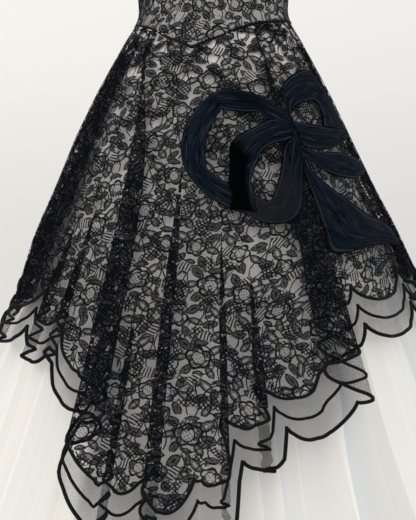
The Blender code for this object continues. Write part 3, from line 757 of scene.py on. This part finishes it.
def stem_lines(cell):
    """A stem round each rose and a wavy one where two cells meet."""
    x, y = cell.parts()
    arc = cell.local(2, -2, 0).vector("LENGTH").near(STEM_RADIUS, STEM_HALF)
    wave = abs(x) - ((y * (2 * math.pi / CELL[1])).math("SINE") * 4.0 + 31.0)
    return largest(arc * x.above(-4.0, 1.0), wave.near(0.0, STEM_HALF))


def lace_masks(tree):
    """Dark lines, half-dark fills and bare net of the lace, each from 0 to 1."""
    cloth = cloth_places(tree)
    moved = cloth
    for grain, reach in LACE_SWAYS:
        sway = cloth.cloud(grain, grain, 1.0, "Color").vector("SUBTRACT", (0.5, 0.5, 0.5))
        moved = moved.vector("ADD", sway.vector("MULTIPLY", (reach, reach, 0)))
    cell, odd = repeated(moved, *CELL)
    rose_lines, rose_fills, in_rose = rose_masks(cloth, cell, odd)
    leaf_lines, leaf_fills, leaf_area = leaf_masks(cell, LEAVES, LEAF_LINE)
    beyond = in_rose.rest()
    lines = largest(rose_lines, largest(leaf_lines, stem_lines(cell)) * beyond)
    fills = largest(rose_fills, leaf_fills * beyond)

    second, _ = repeated(moved.local(*SECOND_PLACE), *SECOND_CELL)
    more_lines, more_fills, _ = leaf_masks(second, SECOND_LEAVES, SECOND_LINE)
    left = largest(in_rose, leaf_area).rest() * cloth.cloud(0.045, 0.045, 0.0).below(SECOND_SHARE, 0.01)
    lines = largest(lines, more_lines * left)
    fills = largest(fills, more_fills * left)

    hatch_x, hatch_y = second.local(*HATCH_PLACE).parts()
    hatched = hatch_x.near(0.0, HATCH_HALF[0]) * hatch_y.near(0.0, HATCH_HALF[1]) * beyond
    lines = largest(lines * hatched.rest(), hatch_x.stripes(4.4).below(0.66, 0.15) * hatched)
    fills = fills * hatched.rest()

    patches = cloth.cloud(0.035, 0.035).below(PATCH_SHARE, 0.02)
    patches = crossed_bars(cell.local(0, 0, 40), 4.6, 0.6, 0.2) * patches
    mottle = cloth.cloud(0.5, 0.5, 2.0) * 1.5 + 0.20
    net = crossed_bars(cloth.local(0, 0, 45), 1.9, 0.12, 0.15)
    return largest(lines, patches), fills * mottle, net


def lace_threads(tree):
    """Colour of the lace's threads, and how much of what lies behind they cover."""
    lines, fills, net = lace_masks(tree)
    cover = largest(lines * 0.98, fills * 0.92, net * 0.75)
    return lines.mix(FILL_THREAD, LINE_THREAD), cover.math("MINIMUM", 1.0)


def lace_look():
    look, tree = new_look("lace")
    thread, cover = lace_threads(tree)
    return surface(look, thread, CLOTH_ROUGHNESS, alpha=cover)


def lined_lace_look():
    """Lace laid on its lining, as on the bodice; towards the sides painted shade darkens it."""
    look, tree = new_look("lined_lace")
    thread, cover = lace_threads(tree)
    turn, _ = stored_places(tree, "turns").parts()
    # painted shade: the ground turns dark blue towards the bodice's sides, as seen from the camera
    side_shade = abs(turn - BODICE_MIDDLE).near(SIDE_SHADE_AT, 14.0, 5.0) * 0.72
    ground = side_shade.mix(LINING, (0.030, 0.034, 0.042, 1))
    return surface(look, cover.mix(ground, thread), CLOTH_ROUGHNESS)


def net_look():
    look, tree = new_look("net")
    cloth = cloth_places(tree)
    net = crossed_bars(cloth.local(0, 0, 38), 1.7, 0.27, 0.15)
    haze = cloth.cloud(0.03, 0.03, 2.0) * 0.14
    return surface(look, (0.020, 0.022, 0.027, 1), CLOTH_ROUGHNESS, alpha=net * 0.85 + haze)


def cord_look():
    look, tree = new_look("satin_cord")
    cloth = cloth_places(tree)
    x, y = cloth.parts()
    twist = (x * 3.2 + y * 2.0).math("SINE")
    shade = cloth.cloud(0.3, 0.3, 2.0).mix((0.002, 0.0025, 0.004, 1), (0.005, 0.006, 0.009, 1))
    return surface(look, shade, 0.6, normal=twist.bump(0.4, 0.0003), shine=0.1)


def ribbon_look(name, dark, sheer):
    """Pleated ribbon: nearly black with painted shadow along one stretch, greyer along another, each as
    shares of its length.
    """
    look, tree = new_look(name)
    cloth = cloth_places(tree)
    across, along = stored_places(tree, "strip").parts()
    side = abs(across)
    pleat = cloth.cloud(0.010, 0.20)
    other = cloth.vector("ADD", (50, 30, 0)).cloud(0.012, 0.17)
    tone = cloth.cloud(0.02, 0.05, 2.0)
    # painted highlights along the pleats' ridges, and a lighter seam line near each edge
    ridge_sheen_and_seam = largest(pleat.near(0.53, 0.011, 0.010), side.near(0.84, 0.03, 0.02))
    edge = side.above(0.94, 0.02) * 0.7
    # painted shadow: the dark stretch of the ribbon, on most of its width
    deep = along.between(*dark, 0.05) * across.below(0.55, 0.25)
    colour = tone.below(0.48, 0.1).mix((0.0036, 0.0084, 0.0158, 1), (0.0010, 0.0044, 0.0105, 1))
    for share, over in (
        (cloth.cloud(0.5, 0.9) * 0.45, (0.0100, 0.0134, 0.0205, 1)),
        (ridge_sheen_and_seam * 0.85, (0.033, 0.036, 0.047, 1)),
        # painted shade in the creases of the second pleats: nearly black lines
        (other.near(0.48, 0.016, 0.012) * 0.95, (0.0003, 0.0005, 0.0012, 1)),
        (along.between(*sheer, 0.06) * (tone * 0.8 + 0.1), (0.0170, 0.0170, 0.0175, 1)),
        # nearly black: the rolled edges, and the painted shadow
        (largest(edge, deep), (0.0003, 0.0005, 0.0014, 1)),
    ):
        colour = share.mix(colour, over)
    return surface(look, colour, 0.6, normal=(pleat + other * 0.6).bump(0.7, 0.0015), shine=0.01)


def tulle_look():
    """White tulle with painted shading of soft upright folds: each goes from a painted bluish grey shade to
    cream and ends in a painted highlight.
    """
    look, tree = new_look("white_tulle")
    turn, drop = stored_places(tree, "turns").parts()
    shade = (0.97, 0.96, 0.93, 1)
    for pitch, offset, depth in TULLE_FOLD_SHADING:
        sway = (turn * 0.11 + offset).join(drop * 0.8).noise(1.0)
        place = sway * 2.0 + turn / pitch
        strong = (place.math("FLOOR") * 3.7).join(offset).noise(0.0).above(0.5, 0.15) * depth
        share = place.math("FRACT")
        # painted fold shade from bluish grey to cream, then a painted highlight at the fold's edge
        fold = share.above(0.5, 0.5).mix((0.70, 0.74, 0.78, 1), (0.83, 0.80, 0.74, 1))
        fold = share.above(0.93, 0.05).mix(fold, (1.0, 1.0, 0.99, 1))
        shade = strong.mix(shade, fold)
    fine = cloth_places(tree).cloud(0.9, 0.9, 2.0)
    return surface(look, shade, 0.85, normal=fine.bump(0.15, 0.0006))


LACE = lace_look()
LINED_LACE = lined_lace_look()
NET = net_look()
CORD = cord_look()
RIBBON = ribbon_look("ribbon", NOWHERE, NOWHERE)
# the first stretch given is painted shadow, the second a greyer sheer stretch
ribbon_look("loop_ribbon", (0.10, 0.15), (0.62, 0.84))
ribbon_look("shadowed_ribbon", (0.46, 1.1), NOWHERE)
TULLE = tulle_look()


def flat_places(centre, labels, drops):
    """Places on the flat cloth of a panel: the cone it forms is unrolled about the panel's middle."""
    line = centre + UNROLL_TURNS
    levels = UNROLL_LEVELS
    points = overskirt_points(line[None, :], levels[:, None])
    steps = np.linalg.norm(np.diff(points, axis=1), axis=-1)
    arcs = np.concatenate([np.zeros((len(levels), 1)), np.cumsum(steps, axis=1)], axis=1)
    arcs -= arcs[:, [len(line) // 2]]
    radii = column(SKIRT_FINE, levels, 1)
    slants = np.concatenate([[0], np.cumsum(np.hypot(np.diff(radii), np.diff(levels)))]) + UNROLL_ABOVE
    row = np.clip((drops - levels[0]) / (levels[1] - levels[0]), 0, len(levels) - 1.001)
    col = np.clip((labels - line[0]) / (line[1] - line[0]), 0, len(line) - 1.001)
    low_row, low_col = row.astype(int), col.astype(int)
    row, col = row - low_row, col - low_col
    arc = ((1 - row) * ((1 - col) * arcs[low_row, low_col] + col * arcs[low_row, low_col + 1])
           + row * ((1 - col) * arcs[low_row + 1, low_col] + col * arcs[low_row + 1, low_col + 1]))
    slant = np.interp(drops, levels, slants)
    return np.stack([slant * np.sin(arc / slant), -slant * np.cos(arc / slant)], axis=-1)


def drifted_top(labels):
    """Drop of the overskirt's top edge, at the angle its columns have there."""
    angle = wrap(labels) + drift(wrap(labels))
    return seam_drop(angle) + beside_basque(angle)


def build_overskirt():
    """Lace panels and net borders, front and back, and the cords round the whole hem."""
    borders, normals = [], []
    for side, first, last, centre, step, lace_rows in PANELS:
        labels = panel_columns(first, last, step)
        across, drops = rows_between(labels, drifted_top(labels), edge_drop(labels), lace_rows)
        grid = overskirt_points(across, drops)
        piece = add_sheet(f"lace_{side}", grid, LACE, flat_places(centre, across, drops))
        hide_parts(f"overskirt_{side}")
        declare_sheet(grid)
        spots = [border_spot(labels, share) for share in np.linspace(0, 1, BORDER_ROWS)]
        across, drops = np.array([spot[0] for spot in spots]), np.array([spot[1] for spot in spots])
        border = overskirt_points(across, drops)
        piece = add_sheet(f"net_{side}", border, NET, flat_places(centre, across, drops))
        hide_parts(f"border_{side}")
        declare_sheet(border)
        borders.append(border)
        normals.append(grid_normals(border))
    for name, row, radius, solid in HEM_CORDS:
        path, out = [np.concatenate([front[row], back[row][1:-1]]) for front, back in (borders, normals)]
        piece = add_ring_cord(name, path, out, radius * MM)
        if solid:
            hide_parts(solid)


def build_underlays():
    """Layers of a deep pleat that lie behind the lace at each side."""
    for side, first, last, layers in UNDERLAYS:
        for layer in range(layers):
            narrower = UNDERLAY_NARROWER * layer
            labels = panel_columns(first + narrower, last - narrower, UNDERLAY_STEP)
            top = drifted_top(labels) + UNDERLAY_TOP
            across, drops = rows_between(labels, top, edge_drop(labels) - UNDERLAY_HEM, UNDERLAY_ROWS)
            grid = overskirt_points(across, drops)
            grid = grid - (UNDERLAY_BEHIND + UNDERLAY_APART * layer) * MM * unit(grid * (1, 1, 0))
            flat = flat_places(0, across, drops) + (UNDERLAY_SHIFT[0] * (layer + 1), UNDERLAY_SHIFT[1])
            piece = add_sheet(f"lace_pleat_{side}_{layer + 1}", grid, LACE, flat)
            declare_sheet(grid)


def underskirt_points(angles, drops):
    inside, wave = column(UNDERSKIRT_FINE, drops, 1), column(UNDERSKIRT_FINE, drops, 2)
    turn = np.radians(angles)
    ripple = 0.55 * np.sin(11 * turn + 0.7) + 0.45 * np.sin(18 * turn + 2.0 * np.sin(turn))
    small = np.sin(41 * turn + 3 * np.sin(5 * turn)) + 0.6 * np.sin(67 * turn + 1.0 + 4 * drops)
    fine = TULLE_WAVE * small * smooth_step((drops - TULLE_WAVE_FROM) / TULLE_WAVE_OVER)
    return placed(angles, skirt_radius(angles, drops) - inside + wave * ripple + fine, -drops)


def build_underskirt():
    for side, first in GORES:
        last = first + GORE_TURN
        angles = np.concatenate([[first], np.linspace(first + 0.04, last - 0.04, GORE_COLUMNS), [last]])
        top = seam_drop(angles) + beside_basque(angles) + UNDERSKIRT_LOWER
        across, drops = rows_between(angles, top, FLOOR_DROP, GORE_ROWS)
        grid = underskirt_points(across, drops)
        around = np.radians(across - first - GORE_TURN / 2) * skirt_radius(across, drops)
        flat = np.stack([around, TULLE_SLANT * drops], axis=-1)
        piece = add_wall(f"tulle_{side}", grid, TULLE_WALL, TULLE, flat)
        add_wall_places(piece, across, drops, "turns")
        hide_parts(f"underskirt_{side}")
        declare_sheet(grid)


def bodice_points(angles, heights):
    below = placed(angles, skirt_radius(angles, -heights), heights)
    half_width, half_depth, forward = [column(BODICE_FINE, heights, which) for which in (1, 2, 3)]
    above = placed(angles, ellipse_radius(angles, half_width, half_depth), heights)
    above[..., 1] -= forward * np.maximum(np.cos(np.radians(angles)), 0.0) ** 0.7
    return np.where((heights < 0)[..., None], below, above)


def build_bodice():
    for name, first, last, count in BODICE_PIECES:
        angles = np.linspace(first, last, count)
        top = column(NECKLINE, np.abs(wrap(angles)), 1)
        low = beside_basque(angles) - seam_drop(angles)
        across, heights = rows_between(angles, top, low, BODICE_ROWS)
        grid = bodice_points(across, heights)
        flat = np.stack([np.radians(across) * BODICE_RADIUS, heights], axis=-1)
        piece = add_wall(f"bodice_{name}_cloth", grid, BODICE_WALL, LINED_LACE, flat)
        add_wall_places(piece, across, heights, "turns")
        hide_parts(f"bodice_{name}")
        declare_sheet(grid)


def build_basque_cord():
    angles = np.linspace(-180, 180, WAIST_CORD_POINTS, endpoint=False)
    seam = seam_drop(angles)
    path = placed(angles, skirt_radius(angles, seam) + WAIST_CORD_OUT, -seam)
    piece = add_ring_cord("waist_cord", path, placed(angles, 1.0, 0.0), WAIST_CORD_RADIUS)
    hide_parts("basque_cord")


def lace_tree():
    mesh = bpy.data.objects["lace_front"].data
    points = [vertex.co for vertex in mesh.vertices]
    return BVHTree.FromPolygons(points, [face.vertices for face in mesh.polygons])


def lace_radius(tree, angle, drop):
    """Radius of the lace's outside at a place, as the highest of a few places round it."""
    found = []
    for turn, lower in FEELERS:
        start, inward = placed(angle + turn, 1.0, -(drop + lower)), -placed(angle + turn, 1.0, 0.0)
        hit = tree.ray_cast(Vector(start), Vector(inward))[0]
        if hit is not None:
            found.append(math.hypot(hit.x, hit.y) - LACE_SLOPE * lower)
    return max(found) if found else float(skirt_radius(angle, drop))


def strip_grid(tree, table, length, count, rise):
    """Points across and along a ribbon strip; rise gives its height (m) at a place across and along."""
    keyed = np.concatenate([np.arange(len(table))[:, None], table], axis=1)
    fine = fine_curve(keyed, length)[:, 1:]
    lines = []
    for side in np.linspace(0, 1, count):
        spots = fine[:, :2] * (1 - side) + fine[:, 2:] * side
        line = []
        for index, (angle, drop) in enumerate(spots * (1, MM)):
            base = lace_radius(tree, angle, drop)
            line.append(placed(angle, base + rise(2 * side - 1, index / (length - 1)), -drop))
        lines.append(line)
    return np.array(lines)


def strip_places(grid):
    """Places on a flat strip: length along its middle, and distance from its middle."""
    along = np.linalg.norm(np.diff(grid[len(grid) // 2], axis=0), axis=1)
    lengths = np.concatenate([[0], np.cumsum(along)])
    widths = np.linalg.norm(grid[-1] - grid[0], axis=1)
    sides = np.linspace(-0.5, 0.5, len(grid))[:, None]
    return np.stack([np.broadcast_to(lengths, grid.shape[:2]), sides * widths], axis=-1)


def build_bow():
    tree = lace_tree()
    for name, table, solids, look, length, count, pleats, crown, lift in BOW_STRIPS:

        def rise(side, share, pleats=pleats, crown=crown, lift=lift):
            bend = side + 0.10 * math.sin(7 * share + pleats) * (1 - side * side)
            pleat = abs(math.sin(1.57 * pleats * bend + 0.5 * math.sin(5 * share))) ** 0.7
            edge = math.exp(-((abs(side) - 0.95) / 0.04) ** 2)
            return MM * (lift + crown * (1 - side ** 4) + 1.1 * pleat * (1 - side ** 6) + 0.7 * edge)

        grid = strip_grid(tree, table, length, count, rise)
        flat = strip_places(grid)
        piece = add_wall(name, grid, RIBBON_WALL, bpy.data.materials[look], flat)
        add_wall_places(piece, np.linspace(-1, 1, count)[:, None], np.linspace(0, 1, length), "strip")
        if solids:
            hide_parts(*solids)
        declare_sheet(grid)
    build_knot(tree)


def build_knot(tree):
    """The narrow crease where the pleats gather, with a groove down its middle."""
    angle, drop, half_width, half_height, rise = KNOT
    radius = float(skirt_radius(angle, drop))
    rows, columns = KNOT_ROWS, KNOT_COLUMNS
    outer, inner = [], []
    for row in range(rows + 1):
        up = 2 * row / rows - 1
        for col in range(columns + 1):
            side = 2 * col / columns - 1
            narrow = 1 - 0.35 * (1 - up * up)
            turn = angle + math.degrees((side * half_width * narrow + 0.004 * up) / radius)
            base = lace_radius(tree, turn, drop + up * half_height)
            dome = max((1 - up ** 4) * (1 - side ** 4), 0.0)
            groove = 1 - KNOT_GROOVE * math.exp(-(side * 5) ** 2)
            pleat = 0.0006 * abs(math.sin(14 * up + 3 * side * side)) * dome
            height = base + KNOT_LIFT + rise * dome * groove + pleat
            outer.append(placed(turn, height, -(drop + up * half_height)))
            inner.append(placed(turn, base + 1.0 * MM, -(drop + up * half_height)))
    points = np.array(outer + inner)
    shares = np.stack(np.meshgrid(np.linspace(-1, 1, columns + 1), np.linspace(-1, 1, rows + 1)), axis=-1)
    flat = np.concatenate([0.03 * shares.reshape(-1, 2)] * 2)
    piece = add_mesh("ribbon_knot", points, wall_faces(rows + 1, columns + 1), RIBBON, flat)
    add_wall_places(piece, 0.6 * shares[..., 0], 0.6 * shares[..., 1], "strip")
    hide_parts("bow_knot")


def build_camera(turn):
    scene = bpy.context.scene
    lens = bpy.data.cameras.new("camera")
    lens.sensor_fit = "VERTICAL"
    lens.angle = 2 * math.atan(HALF_PHOTO * PIXEL / CAMERA_DISTANCE)
    camera = add_object("camera", lens)
    off = CENTRE_OFF * PIXEL
    camera.location = (CAMERA_DISTANCE * math.sin(turn) + off * math.cos(turn),
                       -CAMERA_DISTANCE * math.cos(turn) + off * math.sin(turn), CAMERA_HEIGHT)
    camera.rotation_euler = (math.pi / 2, 0, turn)
    scene.camera = camera
    scene.view_settings.view_transform = "Standard"


def build_background(turn):
    """A plain background, a little darker towards the camera's right and lighter upwards."""
    world = bpy.data.worlds.new("studio")
    bpy.context.scene.world = world
    tree = empty_tree(world)
    view = new_value(tree, "TexCoord", wanted="Generated")
    aside = view.vector("DOT_PRODUCT", (math.cos(turn), math.sin(turn), 0))
    up = view.vector("DOT_PRODUCT", (0, 0, 1))
    wall = aside.ramp(-0.16, 0.16).mix((0.80, 0.777, 0.735, 1), (0.735, 0.730, 0.712, 1))
    light = up.ramp(-0.02, 0.20, 0.96, 1.18, "SMOOTHSTEP")
    sky = new_value(tree, "Background", {"Color": wall.vector("SCALE", light)})
    add_node(tree, "OutputWorld", {"Surface": sky})


def build_lamps():
    for name, azimuth, height, distance, size, power in LAMPS:
        lamp = bpy.data.lights.new(name, "AREA")
        lamp.size = size
        lamp.energy = power
        lamp.color = LAMP_COLOUR
        around = math.radians(azimuth)
        source = add_object(name, lamp)
        source.location = (distance * math.sin(around), -distance * math.cos(around), height)
        source.rotation_euler = (Vector(LAMP_AIM) - source.location).to_track_quat("-Z", "Y").to_euler()


def build_floor():
    """A plain disc that fades out towards its edge."""
    look, tree = new_look("plain_floor")
    place = new_value(tree, "TexCoord", wanted="Object")
    far = place.vector("MULTIPLY", (1, 1, 0)).vector("LENGTH")
    surface(look, (0.80, 0.79, 0.765, 1), 0.9, alpha=far.below(0.98, 0.2))
    rim = placed(360 * np.arange(FLOOR_CORNERS) / FLOOR_CORNERS, FLOOR_RADIUS, FLOOR_LEVEL)
    floor = add_object("floor", new_mesh("floor", rim, [range(FLOOR_CORNERS)], look))


build_camera(math.radians(CAMERA_AZIMUTH))
build_background(math.radians(CAMERA_AZIMUTH))
build_lamps()
build_floor()
build_overskirt()
build_underlays()
build_underskirt()
build_bodice()
build_basque_cord()
build_bow()
